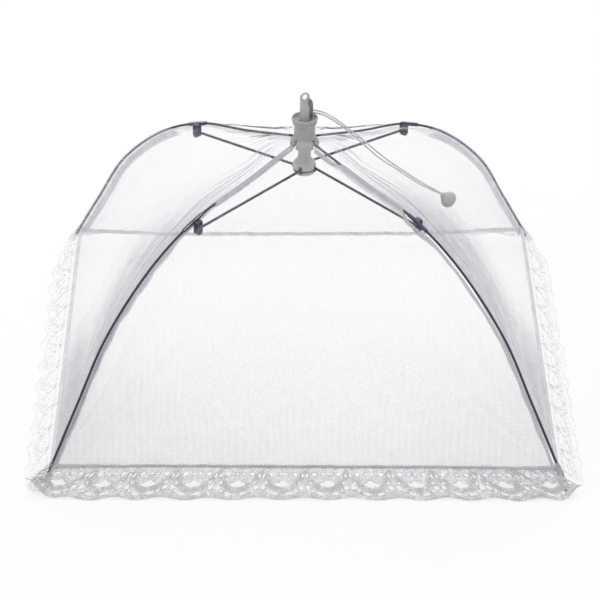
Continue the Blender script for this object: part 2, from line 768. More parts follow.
# Modelling tools


def deselect():
    if bpy.context.object and bpy.context.object.mode != "OBJECT":
        bpy.ops.object.mode_set(mode="OBJECT")
    bpy.ops.object.select_all(action="DESELECT")


def pick(piece):
    deselect()
    piece.select_set(True)
    bpy.context.view_layer.objects.active = piece
    return piece


def read_points(piece):
    points = np.empty(len(piece.data.vertices) * 3)
    piece.data.vertices.foreach_get("co", points)
    return points.reshape(-1, 3)


def write_points(piece, points):
    piece.data.vertices.foreach_set("co", np.ascontiguousarray(points, np.float32).ravel())
    piece.data.update()


def write_share(piece, name, values):
    attribute = piece.data.attributes.new(name, "FLOAT", "POINT")
    attribute.data.foreach_set("value", np.ascontiguousarray(values, np.float32))


def read_share(piece, name):
    values = np.empty(len(piece.data.vertices), np.float32)
    piece.data.attributes[name].data.foreach_get("value", values)
    return values


def write_uv(piece, across, along):
    """UV map in metres from a value at each point."""
    mesh = piece.data
    layer = mesh.uv_layers.get("UVMap") or mesh.uv_layers.new(name="UVMap")
    corners = np.empty(len(mesh.loops), np.int32)
    mesh.loops.foreach_get("vertex_index", corners)
    values = np.stack([across[corners], along[corners]], axis=1)
    layer.data.foreach_set("uv", values.astype(np.float32).ravel())


def from_faces(name, points, faces):
    mesh = bpy.data.meshes.new(name)
    mesh.from_pydata([tuple(p) for p in points], [], [tuple(int(i) for i in f) for f in faces])
    piece = bpy.data.objects.new(name, mesh)
    bpy.context.scene.collection.objects.link(piece)
    return pick(piece)


def modified(piece, kind, **settings):
    """Adds a modifier with its settings, and applies it."""
    pick(piece)
    bpy.ops.object.modifier_add(type=kind)
    modifier = piece.modifiers[-1]
    for name, value in settings.items():
        setattr(modifier, name, value)
    bpy.ops.object.modifier_apply(modifier=modifier.name)


def thicken(piece, thickness):
    """Gives a sheet its thickness, half to each side."""
    modified(piece, "SOLIDIFY", thickness=thickness, offset=0)


def soften(piece, width, segments):
    """Bevels the sharp edges."""
    limit = {"limit_method": "ANGLE", "angle_limit": SHARP_EDGE}
    modified(piece, "BEVEL", width=width, segments=segments, harden_normals=False, **limit)


def smooth_shading(piece, degrees):
    pick(piece)
    bpy.ops.object.shade_smooth_by_angle(angle=math.radians(degrees))


def edit_all(piece):
    """Edit mode with the whole mesh selected."""
    pick(piece)
    bpy.ops.object.mode_set(mode="EDIT")
    bpy.ops.mesh.select_all(action="SELECT")


def end_edit():
    bpy.ops.object.mode_set(mode="OBJECT")


def outward(piece, merge=MERGE_DISTANCE):
    """Merges doubles and turns the faces outwards."""
    edit_all(piece)
    bpy.ops.mesh.remove_doubles(threshold=merge)
    bpy.ops.mesh.normals_make_consistent(inside=False)
    end_edit()


def draw_line(name, points):
    """A chain of edges: a plane merged to one point, which is extruded from point to point."""
    deselect()
    bpy.ops.mesh.primitive_plane_add(size=0.001, location=(0, 0, 0))
    piece = bpy.context.object
    piece.name = name
    edit_all(piece)
    bpy.ops.mesh.merge(type="CENTER")
    here = Vector(points[0])
    bpy.ops.transform.translate(value=here)
    for point in points[1:]:
        step = Vector(point) - here
        bpy.ops.mesh.extrude_region_move(TRANSFORM_OT_translate={"value": step})
        here = Vector(point)
    end_edit()
    return piece


def bent_wire(name, points, radius):
    """A round wire along a line."""
    wire = draw_line(name, points)
    pick(wire)
    bpy.ops.object.convert(target="CURVE")
    wire = bpy.context.object
    wire.data.bevel_depth = radius
    wire.data.bevel_resolution = 4
    wire.data.use_fill_caps = True
    bpy.ops.object.convert(target="MESH")
    wire = bpy.context.object
    outward(wire)
    smooth_shading(wire, 40)
    return wire


def cut_plate(name, outline, near, far):
    """A plate cut to an outline of places out and up, from one depth across to another."""
    plate = draw_line(name, [(x, near, z) for x, z in (*outline, outline[0])])
    edit_all(plate)
    bpy.ops.mesh.remove_doubles(threshold=MERGE_DISTANCE)
    bpy.ops.mesh.edge_face_add()
    bpy.ops.mesh.extrude_region_move(TRANSFORM_OT_translate={"value": (0, far - near, 0)})
    end_edit()
    outward(plate)
    return plate


def joined(pieces):
    deselect()
    for piece in pieces:
        piece.select_set(True)
    bpy.context.view_layer.objects.active = pieces[0]
    bpy.ops.object.join()
    return bpy.context.object


def spun(name, profile, steps, closed=True):
    """A body of revolution about Z, from a profile of radii and heights."""
    points = [(radius, 0, height) for radius, height in profile]
    if closed:
        points.append(points[0])
    piece = draw_line(name, points)
    edit_all(piece)
    bpy.ops.mesh.spin(steps=steps, angle=2 * math.pi, center=(0, 0, 0), axis=(0, 0, 1))
    end_edit()
    outward(piece)
    return piece


def millimetres(profile):
    return [(radius / 1000, height / 1000) for radius, height in profile]


def dome(radius, top):
    """A quarter of an arc, from the radius up to the axis."""
    angles = np.radians(np.linspace(0, 90, DOME_POINTS))[:-1]
    arc = [(radius * math.cos(a), top - radius + radius * math.sin(a)) for a in angles]
    return [*arc, (0, top)]


def coil(middle, radius, start, turns, side):
    """Points round a point of the rib's plane, clockwise."""
    angles = start - np.linspace(0, turns * 2 * np.pi, COIL_POINTS)
    return [
        (middle[0] + radius * math.cos(a), side, middle[1] + radius * math.sin(a)) for a in angles
    ]


def block(low, high, turn):
    """A cutter between two corners, turned about Z."""
    deselect()
    bpy.ops.mesh.primitive_cube_add(size=1, location=(0, 0, 0))
    piece = bpy.context.object
    low, high = np.array(low), np.array(high)
    points = read_points(piece) * (high - low) + (high + low) / 2
    write_points(piece, turned(points, turn))
    return piece


def turned(points, angle):
    """Points turned about Z."""
    c, s = math.cos(angle), math.sin(angle)
    x, y, z = points[:, 0], points[:, 1], points[:, 2]
    return np.stack([c * x - s * y, s * x + c * y, z], axis=1)


def cut_away(piece, cutters):
    """Cuts each cutter out of the piece, and deletes it."""
    for cutter in cutters:
        modified(piece, "BOOLEAN", operation="DIFFERENCE", solver="EXACT", object=cutter)
        bpy.data.objects.remove(cutter, do_unlink=True)


def copied(piece, name, angle):
    """A copy with its own mesh, turned about Z."""
    pick(piece)
    bpy.ops.object.duplicate(linked=False)
    copy = bpy.context.object
    copy.name = name
    write_points(copy, turned(read_points(copy), angle))
    return copy


def give(piece, material):
    piece.data.materials.clear()
    piece.data.materials.append(material)


def belongs(piece, body, node):
    """The piece rides a body and takes a node's place, in a named slot."""
    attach(piece, body)
    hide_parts(node)


def notched(piece, low, high):
    """Cuts a notch between two places out of the piece at each corner."""
    cut_away(piece, [block(low, high, turn) for turn in CORNER_TURNS.values()])
    outward(piece)


def to_corners(made, kind, body, node):
    """Copies a piece to each corner, by what made holds for it, and deletes the first ones."""
    for corner, turn in CORNER_TURNS.items():
        copy = copied(made[corner], f"{kind}_{corner}", turn)
        belongs(copy, f"{body}_{corner}", f"{node}_{corner}")
    for piece in dict.fromkeys(made.values()):
        bpy.data.objects.remove(piece, do_unlink=True)


def finished(piece, degrees, material):
    """Smooths the shading where faces meet at less than an angle, and gives the material."""
    smooth_shading(piece, degrees)
    give(piece, material)


def dress_nodes(names, material):
    """Gives the material to nodes of the frame, on the object and not on its mesh."""
    for name in names:
        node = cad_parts[name]
        if not node.material_slots:
            node.data.materials.append(material)
        for holder in node.material_slots:
            holder.link = "OBJECT"
            holder.material = material


# The course of a rib


def smooth(share):
    """A share held between 0 and 1, with a soft start and end."""
    held = np.clip(share, 0, 1)
    return held * held * (3 - 2 * held)


def climb(value, start, width):
    """0 up to the start, 1 from a width after it, and smooth between."""
    return smooth((value - start) / width)


def blended(low, high, share):
    return low + (high - low) * share


def through(points):
    """A centripetal curve through points, in many steps for each stretch."""
    points = np.array(points, float)
    ends = np.vstack([2 * points[0] - points[1], points, 2 * points[-1] - points[-2]])
    parts = []
    for i in range(1, len(ends) - 2):
        p0, p1, p2, p3 = ends[i - 1 : i + 3]
        d0, d1, d2 = (math.sqrt(np.linalg.norm(b - a)) for a, b in ((p0, p1), (p1, p2), (p2, p3)))
        t1 = ((p1 - p0) / d0 - (p2 - p0) / (d0 + d1) + (p2 - p1) / d1) * d1
        t2 = ((p2 - p1) / d1 - (p3 - p1) / (d1 + d2) + (p3 - p2) / d2) * d1
        t = np.linspace(0, 1, CURVE_STEPS + 1)[(0 if i == 1 else 1) :, None]
        parts.append(
            p1
            + t1 * t
            + (3 * (p2 - p1) - 2 * t1 - t2) * t**2
            + (2 * (p1 - p2) + t1 + t2) * t**3
        )
    return np.vstack(parts)


def evenly(points, count):
    """That many points, evenly spaced along a chain of points."""
    passed = np.concatenate([[0], np.cumsum(np.linalg.norm(np.diff(points, axis=0), axis=1))])
    wanted = np.linspace(0, passed[-1], count)
    return np.stack([np.interp(wanted, passed, points[:, i]) for i in range(3)], axis=1)


def rib_course():
    """The rib in its own plane, evenly spaced: how far out, how high, and its direction."""
    points = [
        (blended(RIB_ROOT[0], RIB_TIP[0], out), 0, blended(RIB_TIP[1], RIB_ROOT[1], up))
        for out, up in RIB_COURSE_SHARES
    ]
    line = evenly(through(points), COURSE_POINTS)
    along = np.gradient(line, axis=0)
    along /= np.linalg.norm(along, axis=1)[:, None]
    return line, along


COURSE, COURSE_ALONG = rib_course()
COURSE_SHARES = np.linspace(0, 1, len(COURSE))
COURSE_LENGTH = float(np.linalg.norm(np.diff(COURSE, axis=0), axis=1).sum())


def on_course(share, offset=0.0):
    """Points beside the rib, out along its upper normal, and its direction there."""
    share = np.asarray(share, float)
    out, up = (np.interp(share, COURSE_SHARES, COURSE[:, i]) for i in (0, 2))
    tx, tz = (np.interp(share, COURSE_SHARES, COURSE_ALONG[:, i]) for i in (0, 2))
    return out - tz * offset, up + tx * offset, tx, tz


def share_at_radius(radius):
    return float(np.interp(radius, COURSE[:, 0], COURSE_SHARES))


def share_at_height(height):
    return float(np.interp(-height, -COURSE[:, 2], COURSE_SHARES))


HEM_SHARE = share_at_height(HEM_HEIGHT)
NET_TOP_SHARE = share_at_radius(SKIRT_RADIUS + SEAT_GAP)
CLIP_SHARE = share_at_radius(CLIP_RADIUS)


def panel_profile(share):
    """A panel's own profile: how far out, how high, the rib's radius, and the panel's normal."""
    out, up, tx, tz = on_course(share)
    across, rise = -tz, tx * DIAGONAL
    size = np.hypot(across, rise)
    return out * DIAGONAL, up, out, across / size, rise / size


def net_lift(radius):
    """The net starts over the ribs, passes inside them, and meets them again at the hem."""
    inward = 0.65 * climb(radius, 0.015, 0.13) + 0.35 * climb(radius, 0.16, 0.05)
    outward_again = climb(radius, 0.226, 0.022)
    return NET_TOP_LIFT - (NET_TOP_LIFT + NET_INSET) * inward + NET_INSET * outward_again


def seam_gap(radius):
    """Each panel stops beside the rib's wire, and further off beside its clip."""
    beside_clip = np.exp(-(((radius - CLIP_RADIUS) / 0.011) ** 4))
    narrowing = SEAM_NARROWING * climb(radius, 0.02, 0.04)
    return SEAM_GAP - narrowing + SEAM_CLIP_ROOM * beside_clip


def tucks(down, across):
    """Long tucks that leave the crown and run beside the ribs, as ridges from 0 to 1."""
    edge = 1 - np.abs(across)
    total = 0
    for place, drift, width, low, high in TUCKS:
        line = place + drift * (down - 0.4) + TUCK_WAVE * np.sin(9 * down + place * 40)
        ends = smooth((down - low) / 0.08 + 0.3) * (1 - smooth((down - high) / 0.2 + 1))
        total = total + ends * np.exp(-(((edge - line) / width) ** 2))
    return total


def corner_fans(down, across):
    """Folds that fan out from the lower corners, from -1 to 1."""
    edge = 1 - np.abs(across)
    reach = np.hypot(edge * 1.1, 1 - down)
    angle = np.arctan2(edge * 1.1, 1 - down + 0.002)
    fold = np.sin(17 * angle + 0.9) * 0.7 + np.sin(29 * angle + 2) * 0.3
    return fold * np.exp(-2.6 * reach) * smooth(reach * 7)


def gathers(down, across, bunching, drawn, hemmed):
    """How close the net is gathered, from 0 to 1: at crown, tucks, corners, hem and veil.

    A hemmed share of 1 darkens the net fully towards its hem. The veil is the net drawn together
    towards one end of a side, given with its level and that end.
    """
    edge = 1 - np.abs(across)
    reach = np.hypot(edge * 1.6, 1 - down)
    crown = np.exp(-down * 30) * 0.3
    corner = np.exp(-reach * 3.2) * 0.9
    fan = np.maximum(corner_fans(down, across), 0) * 0.8
    beside = np.exp(-edge * 7) * 0.55 * smooth(down * 1.5 - 0.35)
    hem = (np.exp(-(1 - down) * 4) * 0.5 + 0.08 * smooth(down * 2 - 0.8)) * hemmed
    tucked = tucks(down, across) * (0.05 + 0.3 * bunching)
    level, end = drawn
    veil = level * smooth(down / 0.62) * smooth((0.45 + end * across) / 1.25)
    return np.clip(crown + (corner + fan + beside) * bunching + veil + hem + tucked, 0, 1)


def folds(down, across):
    """How far the folds stand out of the net."""
    free = 1 - np.abs(across) ** 6
    window = smooth(down * 12) * smooth((1 - down) * 10)
    pleats = PLEAT_HEIGHT * np.cos(5 * np.pi * across) * np.exp(-5.5 * down)
    ripple = RIPPLE_HEIGHT * np.cos(8 * np.pi * across) * np.sin(np.pi * down) ** 2
    standing = TUCK_HEIGHT * tucks(down, across) + FAN_HEIGHT * corner_fans(down, across)
    return window * free * (pleats + ripple + standing)


def hem_rise(across, side_name):
    """How far the hem stands over its level, from one corner of a side to the other."""
    side = SIDES.index(side_name)
    start, end = HEM_RISES[corner_of(side, -1)], HEM_RISES[corner_of(side, 1)]
    free = smooth((1 - np.abs(across)) / 0.5)
    return blended(start, end, (across + 1) / 2) - HEM_DIPS[side_name] * free


def net_point(across, down, side_name):
    """Points of a side's panel, as it lies before it is turned from the front to its side."""
    share = blended(NET_TOP_SHARE, HEM_SHARE, down)
    out, up, radius, normal_out, normal_up = panel_profile(share)
    sunk = NET_SAG * (1 - across**2) * np.sin(np.pi * down)
    offset = net_lift(radius) - sunk + folds(down, across)
    out = out + normal_out * offset
    up = up + normal_up * offset + hem_rise(across, side_name) * down**3
    rounding = climb(radius, SKIRT_RADIUS, NET_ROUNDING - SKIRT_RADIUS)
    gap = seam_gap(radius)
    turn = across * (QUARTER / 2 - gap / radius)
    x = blended(radius * np.sin(turn), across * (out - gap), rounding)
    y = -blended(radius * np.cos(turn), out, rounding)
    return np.stack([x, y, up], axis=1)


def hem_line(across, side_name):
    """The middle of a hem: how far out and how high."""
    out, up, _, normal_out, normal_up = (float(v) for v in panel_profile(HEM_SHARE))
    lift = net_lift(on_course(HEM_SHARE)[0])
    return out + normal_out * lift, up + normal_up * lift + hem_rise(across, side_name)


def follow_share(across):
    """How far cloth at that share of a side follows its rib: not at all in the middle."""
    return smooth(np.abs(across))


def corner_of(side, sign):
    """The corner at that end of a side."""
    return CORNERS[side if sign > 0 else (side + 3) % 4]


def belongs_between(piece, side, sign, node):
    """The piece bends from the crown in the middle of its side to the rib at its corner."""
    line = np.array([[0, -HALF_SIDE, 0.0], [sign * HALF_SIDE, -HALF_SIDE, 0.0]])
    middle, end = (Vector(point) for point in turned(line, side * QUARTER))
    f"rib_{corner_of(side, sign)}"
    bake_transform(piece)
    read_share(piece, "follow")
    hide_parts(node)


def cloth(name, columns, rows, place):
    """A sheet made from a grid.

    place() takes the shares across and down to the points, the UV map and the named shares.
    """
    deselect()
    bpy.ops.mesh.primitive_grid_add(x_subdivisions=columns, y_subdivisions=rows, size=2)
    piece = bpy.context.object
    piece.name = name
    grid = read_points(piece)
    points, across, along, shares = place((grid[:, 0] + 1) / 2, (1 - grid[:, 1]) / 2)
    write_points(piece, points)
    write_uv(piece, across, along)
    for share, values in shares.items():
        write_share(piece, share, values)
    return piece


def face_down(piece):
    edit_all(piece)
    bpy.ops.mesh.flip_normals()
    end_edit()


def tube_faces(rings, around):
    """The faces of a tube, closed at both ends."""
    faces = [
        (
            ring * around + side,
            ring * around + (side + 1) % around,
            (ring + 1) * around + (side + 1) % around,
            (ring + 1) * around + side,
        )
        for ring in range(rings - 1)
        for side in range(around)
    ]
    faces.append(tuple(range(around))[::-1])
    faces.append(tuple((rings - 1) * around + side for side in range(around)))
    return faces


# Pieces


class COVER_OT_stage(bpy.types.Operator):
    """Floor, white surroundings, soft lamps and the camera"""

    bl_idname = "cover.stage"
    bl_label = "Stage"

    def lay_floor(self, context):
        deselect()
        bpy.ops.mesh.primitive_plane_add(size=FLOOR_SIZE, location=(0, 0, 0))
        floor = context.object
        floor.name = "floor"
        write_points(floor, read_points(floor) + np.array([0, 0, -FLOOR_DROP]))
        finish = Finish("floor_white", Roughness=0.9)
        finish.shader.inputs["Base Color"].default_value = FLOOR_WHITE
        see_through = finish.node("ShaderNodeBsdfTransparent", output="BSDF")
        camera_ray = finish.node("ShaderNodeLightPath", output="Is Camera Ray")
        share = camera_ray * FLOOR_SEE_THROUGH
        mixed = finish.node("ShaderNodeMixShader", inputs={0: share})
        shader = mixed.socket.node
        finish.tree.links.new(finish.shader.outputs["BSDF"], shader.inputs[1])
        finish.tree.links.new(see_through.socket, shader.inputs[2])
        out = finish.tree.nodes["Material Output"]
        finish.tree.links.new(shader.outputs[0], out.inputs["Surface"])
        give(floor, finish.material)

    def surround(self, scene):
        """White as the camera, mirrors and glass see it, and greyer as a light."""
        world = bpy.data.worlds.new("white_surroundings")
        scene.world = world
        world.use_nodes = True
        tree = world.node_tree
        background = tree.nodes["Background"]
        background.inputs["Color"].default_value = (1, 1, 1, 1)
        paths = tree.nodes.new("ShaderNodeLightPath")
        seen = paths.outputs["Is Camera Ray"]
        for name in ("Is Glossy Ray", "Is Transmission Ray"):
            either = tree.nodes.new("ShaderNodeMath")
            either.operation = "MAXIMUM"
            tree.links.new(seen, either.inputs[0])
            tree.links.new(paths.outputs[name], either.inputs[1])
            seen = either.outputs[0]
        level = tree.nodes.new("ShaderNodeMapRange")
        level.inputs["To Min"].default_value = SURROUNDING_LIGHT
        level.inputs["To Max"].default_value = 1.0
        tree.links.new(seen, level.inputs["Value"])
        tree.links.new(level.outputs["Result"], background.inputs["Strength"])

    def hang_lamps(self, scene):
        for name, place, size, watts in LAMPS:
            data = bpy.data.lights.new(name, "AREA")
            data.energy = watts
            data.size = size
            lamp = bpy.data.objects.new(name, data)
            scene.collection.objects.link(lamp)
            lamp.location = place
            lamp.rotation_mode = "QUATERNION"
            lamp.rotation_quaternion = Vector(place).to_track_quat("Z", "Y")

    def place_camera(self, scene):
        away = math.cos(CAMERA_ELEVATION)
        back = Vector(
            (
                math.sin(CAMERA_AZIMUTH) * away,
                -math.cos(CAMERA_AZIMUTH) * away,
                math.sin(CAMERA_ELEVATION),
            )
        )
        right = Vector((math.cos(CAMERA_AZIMUTH), math.sin(CAMERA_AZIMUTH), 0))
        up = back.cross(right)
        level_right = math.cos(CAMERA_ROLL) * right + math.sin(CAMERA_ROLL) * up
        level_up = math.cos(CAMERA_ROLL) * up - math.sin(CAMERA_ROLL) * right
        target = right * TARGET_ASIDE + Vector((0, 0, TARGET_HEIGHT))
        place = target + back * CAMERA_DISTANCE
        lens = bpy.data.cameras.new("camera")
        lens.lens = CAMERA_LENS
        lens.sensor_width = CAMERA_SENSOR
        lens.clip_start = 0.05
        lens.clip_end = 20
        camera = bpy.data.objects.new("camera", lens)
        scene.collection.objects.link(camera)
        rotation = Matrix((level_right, level_up, back)).transposed().to_4x4()
        camera.matrix_world = Matrix.Translation(place) @ rotation
        scene.camera = camera

    def execute(self, context):
        scene = context.scene
        scene.view_settings.view_transform = "Standard"
        self.lay_floor(context)
        self.surround(scene)
        self.hang_lamps(scene)
        self.place_camera(scene)
        return {"FINISHED"}


class COVER_OT_cord(bpy.types.Operator):
    """The doubled pull cord and its bead"""

    bl_idname = "cover.cord"
    bl_label = "Pull cord"

    def strand(self, name, route, sizes, phase):
        """A strand of twisted plies, its middle line and its length."""
        line = evenly(through(np.array(route) / 1000), CORD_POINTS)
        long = float(np.linalg.norm(np.diff(line, axis=0), axis=1).sum())
        rings, around = CORD_POINTS, CORD_SIDES
        along = np.gradient(line, axis=0)
        along /= np.linalg.norm(along, axis=1)[:, None]
        side = np.cross(along, np.array([0, 1.0, 0]))
        side /= np.linalg.norm(side, axis=1)[:, None]
        over = np.cross(side, along)
        passed = np.linspace(0, long, rings)
        turn = np.linspace(0, 2 * np.pi, around, endpoint=False)
        twist = 2 * np.pi * passed / sizes.cord_pitch + phase
        lobes = np.abs(np.cos(CORD_PLIES / 2 * (turn[None, :] - twist[:, None])))
        radius = sizes.cord_radius * (CORD_CORE + CORD_PLY_RISE * lobes)
        points = line[:, None, :] + radius[..., None] * (
            np.cos(turn)[None, :, None] * side[:, None, :]
            + np.sin(turn)[None, :, None] * over[:, None, :]
        )
        piece = from_faces(name, points.reshape(-1, 3), tube_faces(rings, around))
        uv_across = np.tile(turn * sizes.cord_radius, rings)
        write_uv(piece, uv_across, np.repeat(passed, around))
        outward(piece)
        smooth_shading(piece, 70)
        return piece, line, long

    def execute(self, context):
        sizes, colours = context.scene.cover_sizes, context.scene.cover_colours
        cord = twisted_cord("cord_twist", colours.cord)
        direction = np.array(DRAW_DIRECTION)
        direction = direction / np.linalg.norm(direction)

        strands = []
        for name, route, phase in (
            ("pull_cord_upper_strand", UPPER_STRAND, 0.0),
            ("pull_cord_lower_strand", LOWER_STRAND, 1.1),
        ):
            piece, line, long = self.strand(name, route, sizes, phase)
            give(piece, cord)
            belongs(piece, "crown", name.replace("_strand", ""))
            strands.append((piece, line, long))

        radius = sizes.bead_radius
        profile = [(out * radius, up * radius) for out, up in BEAD_PROFILE]
        bead = spun("pull_cord_bead", profile, BEAD_STEPS, closed=False)
        x, y, z = read_points(bead).T
        c, s = math.cos(BEAD_LEAN), math.sin(BEAD_LEAN)
        leaned = np.stack([c * x + s * z, y, c * z - s * x], axis=1)
        write_points(bead, leaned + np.array(BEAD_PLACE))
        finished(bead, 60, moulded_plastic("bead_plastic", colours.bead, 0.35))
        belongs(bead, "bead", "pull_bead")

        for piece, line, long in strands:
            reach = abs(float((line[-1] - line[0]) @ direction))
            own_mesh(piece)
            [tuple(p) for p in line[::CORD_PATH_STEP]] + [tuple(line[-1])]
        return {"FINISHED"}


class COVER_OT_crown(bpy.types.Operator):
    """The notched crown with its collar"""

    bl_idname = "cover.crown"
    bl_label = "Crown"

    def execute(self, context):
        colours = context.scene.cover_colours
        crown = spun("crown_cap", millimetres(CROWN_PROFILE), CROWN_STEPS)
        notched(crown, *CROWN_NOTCH)
        finished(crown, 35, moulded_plastic("crown_plastic", colours.crown, 0.4))
        belongs(crown, "crown", "crown")
        return {"FINISHED"}


class COVER_OT_runner(bpy.types.Operator):
    """The runner, the stem that stands in it, and the catch"""

    bl_idname = "cover.runner"
    bl_label = "Runner and stem"

    def execute(self, context):
        colours = context.scene.cover_colours
        runner = spun("runner_hub", millimetres(RUNNER_PROFILE), CROWN_STEPS)
        notched(runner, *RUNNER_NOTCH)
        finished(runner, 35, moulded_plastic("runner_plastic", colours.runner, 0.45))
        belongs(runner, "runner", "runner")

        profile = [*STEM_PROFILE, *dome(STEM_RADIUS, STEM_TOP)]
        stem = spun("stem_rod", millimetres(profile), STEM_STEPS, closed=False)
        # The top is pressed flat and drilled for the eye
        points = read_points(stem)
        points[:, 1] *= blended(1, STEM_FLATNESS, climb(points[:, 2], PRESSED_FROM, PRESSED_OVER))
        write_points(stem, points)
        deselect()
        bpy.ops.mesh.primitive_cylinder_add(vertices=40, radius=DRILL_RADIUS, depth=0.02)
        drill = context.object
        x, y, z = read_points(drill).T
        write_points(drill, np.stack([x, z, y * DRILL_STRETCH + EYE_HEIGHT], axis=1))
        outward(drill)
        cut_away(stem, [drill])
        write_points(stem, turned(read_points(stem), STEM_TURN))
        outward(stem)
        soften(stem, STEM_BEVEL, 2)
        finished(stem, 40, moulded_plastic("stem_plastic", colours.stem, 0.4))
        belongs(stem, "runner", "stem")

        outline = millimetres((x - CATCH_SETBACK, z) for x, z in CATCH_OUTLINE)
        catch = cut_plate("catch_leaf", outline, -CATCH_HALF_WIDTH, CATCH_HALF_WIDTH)
        soften(catch, CATCH_BEVEL, 3)
        finished(catch, 50, spring_steel("spring_steel", colours.spring))
        belongs(catch, "runner", "catch_spring")
        return {"FINISHED"}


class COVER_OT_wires(bpy.types.Operator):
    """Bent wire ribs and stretchers with their eyes, and the tie wires that thread them"""

    bl_idname = "cover.wires"
    bl_label = "Wires"

    def execute(self, context):
        sizes, colours = context.scene.cover_sizes, context.scene.cover_colours
        wire = lacquered_wire("slate_wire", colours.wire, colours.low_wire)
        dress_nodes(["crown_tie_wire", "runner_tie_wire"], wire)

        start = share_at_radius(RIB_ROOT[0] + RIB_EYE_NECK)
        shares = np.linspace(start, RIB_END_SHARE, RIB_POINTS)
        out, up, _, _ = on_course(shares)
        line = [(x, 0, z) for x, z in zip(out, up)]
        start = RIB_EYE_START + 2 * math.pi
        eye = coil(RIB_ROOT, RIB_EYE_RADIUS, start, RIB_EYE_TURNS, 0)[::-1]
        rib = bent_wire("rib", [*eye, *line], sizes.rib_radius)

        ring = (math.sqrt(RING_RADIUS**2 - STRETCHER_SIDE**2), RING_HEIGHT)
        slope = math.atan2(CLIP_PIVOT[1] - ring[1], CLIP_PIVOT[0] - ring[0])
        above = slope + math.pi / 2
        turns, side = STRETCHER_EYE_TURNS, STRETCHER_SIDE
        near = coil(ring, STRETCHER_EYE_RADIUS, above + turns * 2 * math.pi, turns, side)
        far = coil(CLIP_PIVOT, STRETCHER_HOOK_RADIUS, above, turns, side)
        stretcher = bent_wire("stretcher", [*near, *far], sizes.stretcher_radius)

        for piece, kind in ((rib, "rib"), (stretcher, "stretcher")):
            give(piece, wire)
            made = dict.fromkeys(CORNERS, piece)
            to_corners(made, f"bent_{kind}", kind, kind)
        return {"FINISHED"}


class COVER_OT_clips(bpy.types.Operator):
    """Folded clips on the ribs, with a rivet through their two cheeks"""

    bl_idname = "cover.clips"
    bl_label = "Clips and rivets"

    def execute(self, context):
        colours = context.scene.cover_colours
        metal = folded_metal("slate_clip", colours.clip)
        half = SLEEVE_LENGTH / 2 / COURSE_LENGTH

        def wrap(across, down):
            out, up, tx, tz = on_course(CLIP_SHARE + (down * 2 - 1) * half)
            angle = SLEEVE_START + across * SLEEVE_SPAN
            rise, aside = SLEEVE_BORE * np.cos(angle), SLEEVE_BORE * np.sin(angle)
            points = np.stack([out - tz * rise, aside, up + tx * rise], axis=1)
            return points, across, down, {}

        sleeve = cloth("clip_sleeve", *SLEEVE_GRID, wrap)
        outward(sleeve)
        thicken(sleeve, SLEEVE_THICKNESS)
        top = float(on_course(share_at_radius(CLIP_PIVOT[0]))[1])
        half_wide = CHEEK_HALF_WIDTH
        x, z = CLIP_PIVOT
        rounded_end = [
            (x - half_wide * math.cos(a), z - half_wide * math.sin(a))
            for a in np.linspace(0, math.pi, 15)
        ]
        inner_drop, outer_drop = CHEEK_DROPS
        edge = [(x - half_wide, top - inner_drop), (x + half_wide, top - outer_drop)]
        outline = [edge[0], *rounded_end, edge[1]]
        cheeks = [cut_plate("cheek", outline, near, near + CHEEK_THICKNESS) for near in CHEEKS]
        roof = edge + [(px, pz + ROOF_THICKNESS) for px, pz in edge[::-1]]
        bridge = cut_plate("bridge", roof, *BRIDGE)
        neck = cut_plate("neck", roof, *NECK)
        clip = joined([sleeve, *cheeks, bridge, neck])
        soften(clip, CLIP_BEVEL, 2)
        smooth_shading(clip, 40)
        rivet = spun("rivet", millimetres(RIVET_PROFILE), RIVET_STEPS, closed=False)
        points = read_points(rivet)
        write_points(rivet, points[:, (0, 2, 1)] + np.array([x, 0, z]))
        outward(rivet)
        smooth_shading(rivet, 50)
        for piece, kind, node in (
            (clip, "folded_clip", "rib_clip"),
            (rivet, "rivet", "clip_rivet"),
        ):
            give(piece, metal)
            to_corners(dict.fromkeys(CORNERS, piece), kind, "rib", node)
        return {"FINISHED"}


